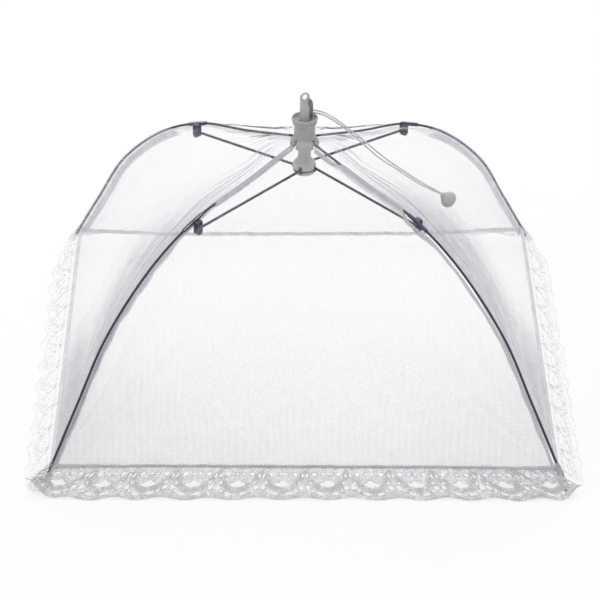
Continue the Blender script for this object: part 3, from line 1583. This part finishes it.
class COVER_OT_tapes(bpy.types.Operator):
    """Binding tapes: the front ones fold over their ribs above the clips, the others below"""

    bl_idname = "cover.tapes"
    bl_label = "Rib tapes"

    def execute(self, context):
        sizes, colours = context.scene.cover_sizes, context.scene.cover_colours
        grey = ribbed_tape("rib_tape", colours.tape)
        pale = ribbed_tape("pale_rib_tape", colours.pale_tape)
        start = share_at_radius(TAPE_START_RADIUS)
        long = (HEM_SHARE - start) * COURSE_LENGTH

        def tape(name, bare_until, covered_until, covered_below, below_wide, openness, material):
            """A tape folded over the rib between two radii, or below the clip."""
            hanging_side = WRAPPED_TAPE_SIDE if covered_below else FOLDED_TAPE_SIDE
            folded = np.array([*TAPE_SECTION, *hanging_side]) / 1000

            def place(across, down):
                share = blended(start, HEM_SHARE, down)
                radius, _, _, _ = on_course(share)
                passed = np.linspace(0, 1, len(folded))
                fold_aside = np.interp(across, passed, folded[:, 0])
                fold_rise = np.interp(across, passed, folded[:, 1])
                at_clip = np.exp(-(((radius - CLIP_PIVOT[0]) / CLIP_REACH) ** 6))
                below = climb(radius, 0.12, 0.02)
                width = blended(TAPE_WIDTH, below_wide, below)
                width = width * (1 + 0.06 * np.sin(down * 37) + 0.05 * np.sin(down * 83 + 2))
                width = width * (1 - 0.7 * at_clip * covered_below)
                side_rise = -TAPE_DROP - 0.0006 * below - 0.0012 * at_clip - across * width
                lean = 0.0005 * np.sin(across * np.pi) + 0.0003 * np.sin(down * 71) * across
                side_aside = -TAPE_ASIDE - 0.0008 * at_clip - lean
                over = climb(radius, bare_until, TAPE_TURNING)
                over = over * (1 - climb(radius, covered_until, TAPE_TURNING))
                wrapped = climb(radius, 0.124, 0.02) * covered_below
                over = over + wrapped
                aside = blended(side_aside, fold_aside, over)
                rise = blended(side_rise, fold_rise, over)
                out, up, _, _ = on_course(share, rise)
                edge = np.maximum(1 - across / 0.14, 1 - (1 - across) / 0.25)
                hanging = climb(across, 0.85, 0.03)
                sheer = wrapped * blended(0.16, -0.15, hanging)
                edge = 0.35 * np.clip(edge, 0, 1) * (1 - 0.9 * wrapped)
                shares = {"open": openness + edge - 0.1 * over + sheer}
                points = np.stack([out, aside, up], axis=1)
                return points, across * TAPE_WIDTH, down * long, shares

            piece = cloth(name, *TAPE_GRID, place)
            outward(piece)
            thicken(piece, sizes.tape_thickness)
            finished(piece, 60, material)
            return piece

        made = {
            "front_right": tape("front_tape", 0.028, 0.094, 0, 0.0035, 0.72, grey),
            "front_left": tape("other_front_tape", 0.004, 0.086, 0, 0.0078, 0.76, grey),
            "back_right": tape("back_tape", 0.02, 0.0, 1, 0.0058, 0.92, pale),
        }
        made["back_left"] = made["back_right"]
        to_corners(made, "binding_tape", "rib", "rib_tape")
        return {"FINISHED"}


class COVER_OT_pockets(bpy.types.Operator):
    """Gathered pockets that hold the rib tips under the lace's corners"""

    bl_idname = "cover.pockets"
    bl_label = "Corner pockets"

    def execute(self, context):
        colours = context.scene.cover_colours
        grey = gathered_cloth("pocket_cloth", colours.pocket)
        pale = gathered_cloth("pale_pocket_cloth", colours.lace)
        rings, around = POCKET_TUBE
        turn = np.linspace(0, 2 * np.pi, around, endpoint=False)

        def pocket(name, bulk, reach, further, flare, openness, material):
            """A pocket that is thicker by its bulk and ends at a share of its form's reach."""
            form = np.array(POCKET_FORM) / 1000
            at = np.linspace(0, (len(form) - 1) * reach, rings)
            radius, top, bottom, half = (np.interp(at, range(len(form)), c) for c in form.T)
            points = []
            for ring, down in enumerate(np.linspace(0, 1, rings)):
                gather = 0.16 * np.cos(6 * turn + 2.2 * math.sin(5 * down)) * (0.35 + 0.65 * down)
                gather += 0.08 * np.cos(11 * turn - 7 * down)
                middle = (top[ring] + bottom[ring]) / 2
                tall = (top[ring] - bottom[ring]) / 2
                y = blended(1, bulk, smooth(down * 1.6)) * half[ring] * (1 + gather) * np.cos(turn)
                z = np.maximum(middle + tall * (1 + gather * 0.6) * np.sin(turn), 0.00005)
                x = radius[ring] + (further + flare * np.sin(turn)) * down
                x = x + 0.0006 * np.sin(3 * turn + 4 * down) * down
                points.append(np.stack([x, y, z], axis=1))
            piece = from_faces(name, np.vstack(points), tube_faces(rings, around))
            along = np.repeat(np.linspace(0, POCKET_LENGTH, rings), around)
            write_uv(piece, np.tile(turn * POCKET_RADIUS, rings), along)
            thinner = 3.0 * np.maximum(along - POCKET_LENGTH / 2, 0)
            write_share(piece, "open", openness + thinner)
            outward(piece)
            finished(piece, 60, material)
            return piece

        full = pocket("full_pocket", 2.3, 0.68, 0.005, 0.007, 0.55, grey)
        slim = pocket("slim_pocket", 1.1, 0.95, -0.0035, 0.0, 0.36, grey)
        back = pocket("back_pocket", 0.8, 0.9, 0.0, 0.0, 0.52, pale)
        made = {"front_left": full, "front_right": slim, "back_left": back, "back_right": back}
        to_corners(made, "gathered_pocket", "rib", "corner_pocket")
        return {"FINISHED"}


class COVER_OT_hems(bpy.types.Operator):
    """Narrow folded hem round the net's lower edge"""

    bl_idname = "cover.hems"
    bl_label = "Hems"

    def execute(self, context):
        colours = context.scene.cover_colours
        grey = ribbed_tape("hem_tape", colours.hem)
        pale = ribbed_tape("pale_hem_tape", colours.pale_tape)
        _, _, _, normal_out, normal_up = (float(v) for v in panel_profile(HEM_SHARE))
        rings, around = HEM_TUBE
        faces = tube_faces(rings, around)
        turn = np.linspace(0, 2 * np.pi, around, endpoint=False)
        for side, side_name in enumerate(SIDES):
            openness, wider = HEM_LOOKS[side_name]
            for sign, half_name in HALVES:
                points, uv_across, uv_along = [], [], []
                for share in np.linspace(0, 1, rings):
                    out, up = hem_line(sign * share, side_name)
                    x = share * (out - HEM_INSET)
                    place = sign * x + side * 0.7
                    wave = 0.00015 * math.sin(place * 160 + side) + 0.0001 * math.sin(place * 510)
                    thick = HEM_BULGE + 0.00012 * math.sin(place * 900)
                    at_corner = math.exp(-(((1 - share) / 0.14) ** 2))
                    deep = HEM_DEPTH / 2 * (wider + 0.4 * at_corner + 0.1 * math.sin(place * 420))
                    flat = np.abs(np.cos(turn)) ** 0.7 * np.sign(np.cos(turn)) * deep
                    bulge = np.abs(np.sin(turn)) ** 0.8 * np.sign(np.sin(turn)) * thick
                    ring_out = out + bulge * normal_out - flat * normal_up
                    ring_up = up + wave + bulge * normal_up + flat * normal_out
                    points.append(np.stack([np.full(around, sign * x), -ring_out, ring_up], axis=1))
                    uv_across.append(flat)
                    uv_along.append(np.full(around, x))
                points, name = np.vstack(points), f"hem_{side_name}_{half_name}"
                piece = from_faces(name, turned(points, side * QUARTER), faces)
                write_uv(piece, np.concatenate(uv_across), np.concatenate(uv_along))
                shares = np.repeat(np.linspace(0, 1, rings), around)
                write_share(piece, "follow", follow_share(shares))
                overlapped = climb(shares, OVERLAP_SHARE, 0.02) * (sign > 0 and side == 0)
                write_share(piece, "open", openness - 0.3 * overlapped)
                outward(piece)
                finished(piece, 60, grey if side == 0 else pale)
                belongs_between(piece, side, sign, f"hem_{side_name}")
        return {"FINISHED"}


class COVER_OT_nets(bpy.types.Operator):
    """The four net panels, each in two halves"""

    bl_idname = "cover.nets"
    bl_label = "Net panels"

    def execute(self, context):
        sizes, colours = context.scene.cover_sizes, context.scene.cover_colours
        material = net_weave("net_weave", colours.net, sizes.net_cell, sizes.net_thread)
        long = (HEM_SHARE - NET_TOP_SHARE) * COURSE_LENGTH
        for side, side_name in enumerate(SIDES):
            for sign, half_name in HALVES:

                def place(share, down, side=side, side_name=side_name, sign=sign):
                    # Finer towards the rib, where the folds are
                    across = sign * (1 - (1 - share) ** NET_CROWDING)
                    points = net_point(across, down, side_name)
                    shares = {
                        "follow": follow_share(across),
                        "gather": gathers(
                            down,
                            across,
                            BUNCHING[side_name, sign],
                            DRAWN.get(side_name, (0, 1)),
                            1 if side == 0 else 0.25,
                        ),
                    }
                    return turned(points, side * QUARTER), points[:, 0], down * long, shares

                piece = cloth(f"net_panel_{side_name}_{half_name}", *NET_GRID, place)
                if sign < 0:
                    face_down(piece)
                thicken(piece, sizes.net_thickness)
                finished(piece, 60, material)
                belongs_between(piece, side, sign, f"net_{side_name}")
                corner = corner_of(side, sign)
        return {"FINISHED"}


def ellipse(x, y, half_x, half_y, lean, count):
    """A hole's outline."""
    turn = np.linspace(0, 2 * np.pi, count, endpoint=False)
    px, py = half_x * np.cos(turn), half_y * np.sin(turn)
    c, s = math.cos(lean), math.sin(lean)
    return np.stack([x + c * px - s * py, y + s * px + c * py], axis=1)


def rounded(corners, side, count=18):
    """A hole's outline from a few corners, rounded off and mirrored to that side."""
    corners = np.array(corners, float) * (side, 1)
    if side < 0:
        corners = corners[::-1]
    loop = np.vstack([corners, corners[0]])
    passed = np.concatenate([[0], np.cumsum(np.linalg.norm(np.diff(loop, axis=0), axis=1))])
    wanted = np.linspace(0, passed[-1], count, endpoint=False)
    line = np.stack([np.interp(wanted, passed, loop[:, i]) for i in range(2)], axis=1)
    return (np.roll(line, 1, axis=0) + 2 * line + np.roll(line, -1, axis=0)) / 4


def lace_holes():
    """The holes of one scallop, in millimetres from its middle and from the hem."""
    holes = [rounded(LACE_EYE, 1, 34)]
    for side in (-1, 1):
        holes += [
            rounded(LACE_LEAF, side),
            ellipse(side * 2.1, 4.1, 1.1, 0.75, side * 0.2, 12),
            ellipse(side * 14.2, 5.4, 0.85, 1.5, 0, 12),
            ellipse(side * 13.3, 14.2, 1.5, 1.75, side * 0.2, 14),
            ellipse(side * 10.0, 16.6, 1.15, 0.8, side * -0.4, 12),
            ellipse(side * 5.0, 18.3, 2.7, 1.15, side * -0.16, 18),
            ellipse(side * 11.9, 10.6, 0.8, 1.1, side * 0.5, 12),
        ]
    return holes


def grown(outline, distance):
    """The outline pushed out by a distance."""
    before, after = np.roll(outline, 1, axis=0), np.roll(outline, -1, axis=0)
    along = after - before
    normal = np.stack([along[:, 1], -along[:, 0]], axis=1)
    normal /= np.linalg.norm(normal, axis=1)[:, None]
    area = np.sum(outline[:, 0] * after[:, 1] - after[:, 0] * outline[:, 1])
    return outline + normal * distance * math.copysign(1, area)


def inside(points, outline):
    """Which points lie within an outline."""
    x, y = points[:, 0][:, None], points[:, 1][:, None]
    x0, y0 = outline[:, 0][None], outline[:, 1][None]
    x1, y1 = np.roll(outline[:, 0], -1)[None], np.roll(outline[:, 1], -1)[None]
    crosses = (y0 > y) != (y1 > y)
    where = (x1 - x0) * (y - y0) / np.where(y1 == y0, 1e-12, y1 - y0) + x0
    return (np.sum(crosses & (x < where), axis=1) % 2) == 1


def distance_to(points, outline):
    """The least distance from each point to a closed line of points."""
    a, b = outline, np.roll(outline, -1, axis=0)
    ab = b - a
    ap = points[:, None, :] - a[None]
    t = np.clip((ap * ab[None]).sum(2) / (ab**2).sum(1)[None], 0, 1)
    return np.linalg.norm(ap - t[..., None] * ab[None], axis=2).min(1)


def lace_cell():
    """One scallop: flat points, triangles, and each point's closeness, density and relief."""
    holes = lace_holes()
    half, deep, cord = LACE_WIDE / 2, LACE_DEEP, LACE_CORD
    side = np.linspace(0, deep, 21)
    level = np.linspace(-half, half, 31)
    border = (
        [(x, 0.0) for x in level]
        + [(half, y) for y in side[1:]]
        + [(x, deep) for x in level[::-1][1:]]
        + [(-half, y) for y in side[::-1][1:-1]]
    )
    loops = [np.array(border)]
    for hole in holes:
        loops.append(hole)
        for step in (0.5, 1.0):
            ring = grown(hole, cord * step)
            apart = min(distance_to(ring, other).min() for other in holes if other is not hole)
            if apart > 0.25 and np.abs(ring[:, 0]).max() < half - 0.1 and ring[:, 1].min() > 0.2:
                loops.append(ring)
    lines = np.vstack(loops)
    points = list(lines)
    edges, start = [], 0
    for loop in loops:
        count = len(loop)
        edges += [(start + i, start + (i + 1) % count) for i in range(count)]
        start += count
    spacing = LACE_SPACING
    for row, y in enumerate(np.arange(spacing, deep, spacing * 0.87)):
        first = -half + (spacing / 2 if row % 2 else spacing)
        for x in np.arange(first, half - 0.4, spacing):
            if np.linalg.norm(lines - (x, y), axis=1).min() > spacing * 0.55:
                points.append((x, y))
    found = delaunay_2d_cdt([Vector((float(x), float(y))) for x, y in points], edges, [], 0, 1e-6)
    flat = np.array([tuple(v) for v in found[0]])
    faces = np.array([f for f in found[2] if len(f) == 3])
    middles = flat[faces].mean(1)
    keep = np.ones(len(faces), bool)
    for hole in holes:
        keep &= ~inside(middles, hole)
    faces = faces[keep]
    near = np.min([distance_to(flat, hole) for hole in holes], axis=0)
    rim = np.minimum(near, np.abs(deep - flat[:, 1]))
    close = np.clip(1.6 - rim / cord, 0, 1)
    run = np.linspace(-half, half, 60)
    arch = np.stack([run, 15.8 - 13.5 * (run / half) ** 2], axis=1)
    apart = np.linalg.norm(flat[:, None, :] - arch[None], axis=2).min(1)
    dense = np.exp(-((apart / 2.0) ** 2)) + 0.6 * np.exp(-(((deep - flat[:, 1]) / 1.8) ** 2))
    relief = np.sin(np.clip(rim / cord, 0, 1) * np.pi)
    return flat, faces, close, np.clip(dense, 0, 1), relief


class COVER_OT_laces(bpy.types.Operator):
    """Lace trim with its scalloped edge, spread out to the table"""

    bl_idname = "cover.laces"
    bl_label = "Lace trim"

    def execute(self, context):
        sizes, colours = context.scene.cover_sizes, context.scene.cover_colours
        material = lace_ground("lace_ground", colours.lace)
        flat, faces, close, dense, relief = lace_cell()
        per_half = SCALLOPS // 2
        count = len(flat)
        all_faces = np.vstack([faces + k * count for k in range(per_half)])
        for side, side_name in enumerate(SIDES):
            for sign, half_name in HALVES:
                past, kept, draws_in, curl = LACE_ENDS[side_name, sign]
                middles = [(k + 0.5) * sign / per_half for k in range(per_half)]
                across = np.concatenate([m + flat[:, 0] / LACE_WIDE / per_half for m in middles])
                down = np.tile(flat[:, 1] / LACE_DEEP, per_half)
                far = np.abs(across)
                out, up = hem_line(across, side_name)
                top_out, top_up = out + LACE_OUTSIDE_HEM, up - LACE_BELOW_HEM
                wave = (1 + np.cos(across * SCALLOPS * np.pi)) / 2
                corner = smooth((far - draws_in) / (1 - draws_in))
                scallop = SCALLOP_DEPTH * (1 if side_name == "front" else 0.6)
                reach = down * (LACE_EDGE - top_out - scallop * wave * down)
                reach = reach * blended(1, kept, corner**1.4 * down**0.3)
                gap = blended(0.0034, 0.0008, smooth(down * 1.7))
                end = top_out + down * past * (1 - 0.16 * corner**3 * down) - gap
                # Even in the middle of the side, where the two halves meet
                phase = far * 13 + side * 1.7
                loose, slack = (0.0007, 0.0) if side_name == "front" else (0.0015, 0.8)
                ruffle = RUFFLE_HEIGHT * wave * down
                ruffle += loose * down**1.5 * (1 + np.sin(phase * 2.1) * np.cos(phase)) * 0.5
                sway = loose * 0.8 * down * np.sin(phase * 3.1 + 1) * (1 - corner)
                fall = top_up * (1 - down) ** 1.15 + curl * corner**2 * down**2
                lift = np.tile(relief, per_half) * LACE_RELIEF
                height = fall + ruffle + LACE_FLOOR_GAP + lift
                points = np.stack([across * end, -(top_out + reach + sway), height], axis=1)
                name = f"lace_{side_name}_{half_name}"
                piece = from_faces(name, turned(points, side * QUARTER), all_faces)
                write_uv(piece, across * LACE_FLAT[0], down * LACE_FLAT[1])
                write_share(piece, "close", np.tile(close, per_half))
                doubled = climb(across, OVERLAP_SHARE, 0.015) * (side_name == "front")
                write_share(piece, "dense", np.tile(dense, per_half) + 0.36 * doubled)
                write_share(piece, "slack", slack * np.ones(len(across)))
                write_share(piece, "follow", follow_share(across))
                outward(piece, LACE_MERGE_DISTANCE)
                if np.mean([face.normal.z for face in piece.data.polygons]) < 0:
                    face_down(piece)
                thicken(piece, sizes.lace_thickness)
                finished(piece, 50, material)
                belongs_between(piece, side, sign, f"lace_{side_name}")
        return {"FINISHED"}


class COVER_PT_pieces(bpy.types.Panel):
    bl_idname = "COVER_PT_pieces"
    bl_label = "Food Cover"
    bl_space_type = "VIEW_3D"
    bl_region_type = "UI"
    bl_category = "Food Cover"

    def draw(self, context):
        scene = context.scene
        for operator in OPERATORS:
            self.layout.operator(operator.bl_idname)
        for group, kind in ((scene.cover_sizes, CoverSizes), (scene.cover_colours, CoverColours)):
            for name in kind.__annotations__:
                self.layout.prop(group, name)


OPERATORS = (
    COVER_OT_stage,
    COVER_OT_cord,
    COVER_OT_crown,
    COVER_OT_runner,
    COVER_OT_wires,
    COVER_OT_clips,
    COVER_OT_tapes,
    COVER_OT_pockets,
    COVER_OT_hems,
    COVER_OT_nets,
    COVER_OT_laces,
)
CLASSES = (CoverSizes, CoverColours, *OPERATORS, COVER_PT_pieces)


def register():
    for kind in CLASSES:
        bpy.utils.register_class(kind)
    bpy.types.Scene.cover_sizes = PointerProperty(type=CoverSizes)
    bpy.types.Scene.cover_colours = PointerProperty(type=CoverColours)


def unregister():
    del bpy.types.Scene.cover_sizes
    del bpy.types.Scene.cover_colours
    for kind in reversed(CLASSES):
        bpy.utils.unregister_class(kind)


def main():
    register()
    for operator in OPERATORS:
        group, name = operator.bl_idname.split(".")
        getattr(getattr(bpy.ops, group), name)()
    deselect()


if __name__ == "__main__":
    main()
